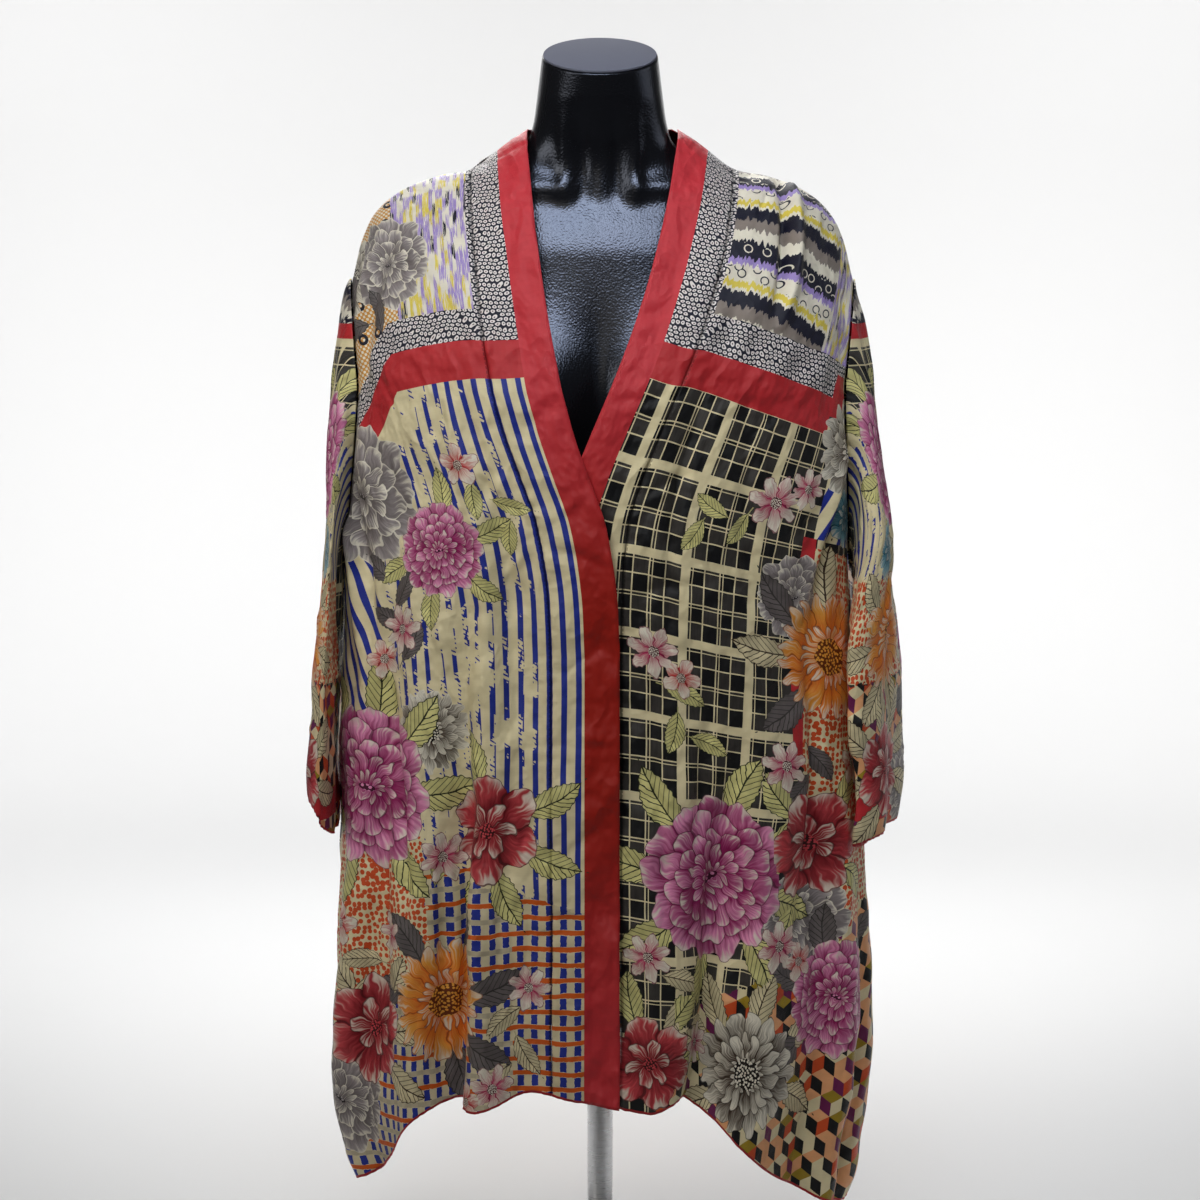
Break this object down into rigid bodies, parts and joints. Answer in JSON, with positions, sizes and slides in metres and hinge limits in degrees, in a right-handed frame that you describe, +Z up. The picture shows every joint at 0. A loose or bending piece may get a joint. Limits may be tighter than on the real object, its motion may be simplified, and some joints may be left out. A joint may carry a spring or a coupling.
{
  "type": "kimono cardigan on a dress form",
  "caption": "Loose open-front kimono cardigan in patchwork-printed silk with a red edge band and drop-shoulder sleeves, hanging on a limbless torso form that stands on a pole and round base.",
  "frame": {"origin": "middle of the stand's underside, on the floor", "axes": "+Z up, -Y towards the viewer of the garment's front, +X towards the wearer's left side"},
  "size_m": [0.5831, 0.32, 1.2048],
  "materials": {
    "silk_right_front": "thin satin-faced silk, cream with cobalt stripes and printed flowers",
    "silk_left_front": "thin satin-faced silk, charcoal check with printed flowers",
    "silk_back": "thin satin-faced silk, printed patchwork",
    "silk_sleeve": "thin satin-faced silk, printed patchwork",
    "silk_band": "doubled silk, red edge with a printed inner part",
    "form_black": "smooth gloss black moulding",
    "cap_grey": "smooth dark grey cap",
    "stand_steel": "satin steel"
  },
  "bodies": {
    "root": {"right_front": "silk_right_front", "left_front": "silk_left_front", "back": "silk_back", "right_sleeve": "silk_sleeve", "left_sleeve": "silk_sleeve", "right_front_band": "silk_band", "left_front_band": "silk_band", "neck_band": "silk_band", "dress_form": "form_black", "neck_cap": "cap_grey", "stand_pole": "stand_steel", "stand_socket": "stand_steel", "stand_base": "stand_steel"}
  },
  "joints": []
}
